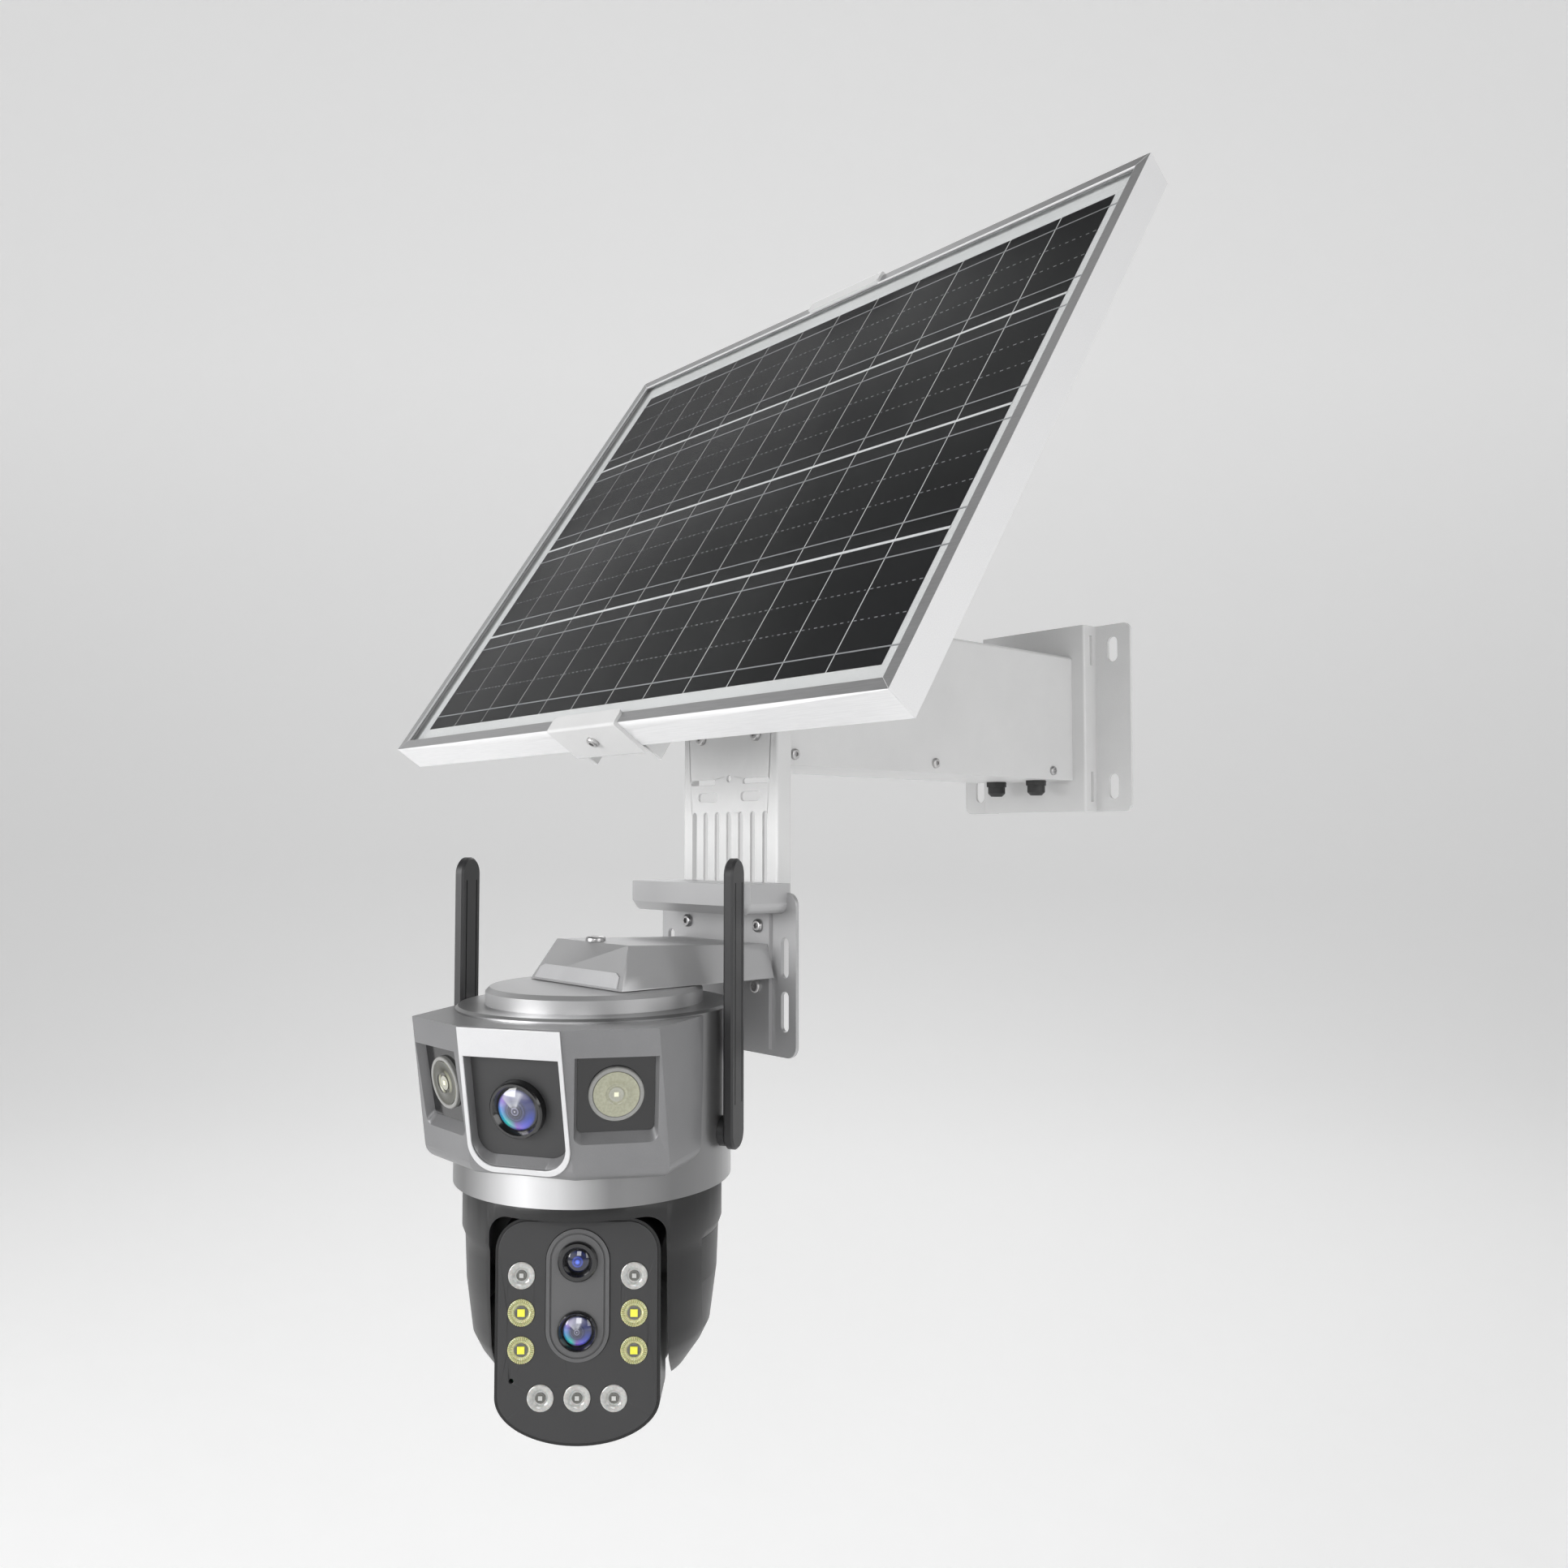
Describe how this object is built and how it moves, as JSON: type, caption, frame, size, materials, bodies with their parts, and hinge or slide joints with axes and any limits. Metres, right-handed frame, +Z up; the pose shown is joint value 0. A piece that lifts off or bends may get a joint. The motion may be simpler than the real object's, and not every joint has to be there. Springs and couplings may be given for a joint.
{
  "type": "solar-powered security camera",
  "caption": "Wall arm with battery and tilting framed solar panel, carrying a swivelling three-window camera head with two aerials and a pan and tilt lens pod.",
  "frame": {"origin": "centre of the wall plate's back plane, at the arm's mid-height", "axes": "+Y into the wall, -Y out along the arm, +Z up, +X to the right seen from in front"},
  "size_m": [0.5, 0.5501, 0.7308],
  "materials": {
    "white_paint": "satin powder coat",
    "zinc_steel": "zinc plated",
    "battery": "shrink wrapped cells in moulded frames",
    "circuit_board": "soldered board",
    "black_nylon": "moulded nylon",
    "frame_alu": "anodised",
    "panel_glass": "low-iron tempered",
    "silicon_cell": "dark monocrystalline silicon under film",
    "backsheet": "white laminate film",
    "silver_cast": "metallic silver paint",
    "bright_trim": "bright silver paint",
    "grey_housing": "metallic grey paint",
    "dark_window": "fine texture",
    "black_gloss": "gloss black",
    "lens_glass": "coated optical glass",
    "lamp_lens": "moulded optical plastic",
    "antenna_black": "satin",
    "motor_steel": "plated can",
    "gear_nylon": "natural nylon",
    "yoke_black": "satin black",
    "pod_grey": "fine texture",
    "insert_grey": "fine texture",
    "ir_lens": "clear moulded lens",
    "warm_lens": "clear moulded lens over warm chips"
  },
  "bodies": {
    "wall_mount": {"wall_plate": "white_paint", "arm_housing": "white_paint", "arm_bottom_cover": "white_paint", "arm_cover_screws": "zinc_steel", "arm_bolts": "zinc_steel", "battery_pack": "battery", "charge_controller": "circuit_board", "cable_glands": "black_nylon", "camera_plate": "white_paint", "m5_bolts": "zinc_steel", "m5_nuts": "zinc_steel", "tilt_base": "white_paint", "tilt_pivot_bolt": "zinc_steel", "camera_bracket": "silver_cast", "bracket_fasteners": "zinc_steel", "bracket_neck": "silver_cast", "neck_inset": "bright_trim"},
    "solar_panel": {"panel_frame_top": "frame_alu", "panel_frame_bottom": "frame_alu", "panel_frame_left": "frame_alu", "panel_frame_right": "frame_alu", "panel_glass": "panel_glass", "solar_cells": "silicon_cell", "panel_backsheet": "backsheet", "junction_box": "black_nylon", "panel_rail": "white_paint", "tilt_lock_bolt": "zinc_steel", "panel_clips": "white_paint", "clip_screws": "zinc_steel"},
    "camera_head": {"swivel_screw": "zinc_steel", "swivel_collar": "silver_cast", "body_shell": "silver_cast", "face_shell": "grey_housing", "centre_bezel": "bright_trim", "centre_window": "dark_window", "centre_lens_barrel": "black_gloss", "centre_lens_glass": "lens_glass", "lamp_plates": "black_gloss", "lamp_lenses": "lamp_lens", "front_boards": "circuit_board", "antenna_knuckles": "antenna_black", "main_board": "circuit_board", "pan_motor": "motor_steel"},
    "left_aerial": {"left_antenna": "antenna_black"},
    "right_aerial": {"right_antenna": "antenna_black"},
    "pinion_wheel": {"pan_pinion": "gear_nylon"},
    "pan_yoke": {"pan_gear": "gear_nylon", "yoke_shell": "yoke_black", "yoke_covers": "yoke_black", "tilt_motor": "motor_steel"},
    "lens_pod": {"pod_shell": "yoke_black", "pod_trunnions": "zinc_steel", "pod_face": "pod_grey", "lens_insert": "insert_grey", "pod_lens_barrels": "black_gloss", "pod_lens_glasses": "lens_glass", "led_board": "circuit_board", "pod_board": "circuit_board", "ir_led_lenses": "ir_lens", "white_led_lenses": "warm_lens"}
  },
  "joints": [
    {"name": "panel_tilt", "type": "hinge", "parent": "wall_mount", "child": "solar_panel", "pos_m": [0, -0.30189, 0.10592], "axis": [1, 0, 0], "range_deg": [-26, 4]},
    {"name": "camera_swivel", "type": "hinge", "parent": "wall_mount", "child": "camera_head", "pos_m": [0, -0.4465, -0.294], "axis": [0, 0, 1], "range_deg": [-65, 5]},
    {"name": "camera_pan", "type": "hinge", "parent": "camera_head", "child": "pan_yoke", "pos_m": [0, -0.4465, -0.294], "axis": [0, 0, 1], "range_deg": [-195.5, 159.5]},
    {"name": "pod_tilt", "type": "hinge", "parent": "pan_yoke", "child": "lens_pod", "pos_m": [0, -0.4465, -0.356], "axis": [0.6691, 0.7431, 0], "range_deg": [0, 85]},
    {"name": "right_antenna_turn", "type": "hinge", "parent": "camera_head", "child": "right_aerial", "pos_m": [0.07621, -0.4025, -0.265], "axis": [0.866, 0.5, 0], "range_deg": [0, 90]},
    {"name": "left_antenna_turn", "type": "hinge", "parent": "camera_head", "child": "left_aerial", "pos_m": [-0.07621, -0.4905, -0.265], "axis": [0.866, 0.5, 0], "range_deg": [0, 90]},
    {"name": "pinion_spin", "type": "hinge", "parent": "camera_head", "child": "pinion_wheel", "pos_m": [-0.036, -0.4465, -0.28], "axis": [0, 0, 1], "range_deg": [-800, 980]}
  ],
  "couplings": [
    {"joint": "pinion_spin", "follows": "camera_pan", "ratio": -5}
  ]
}
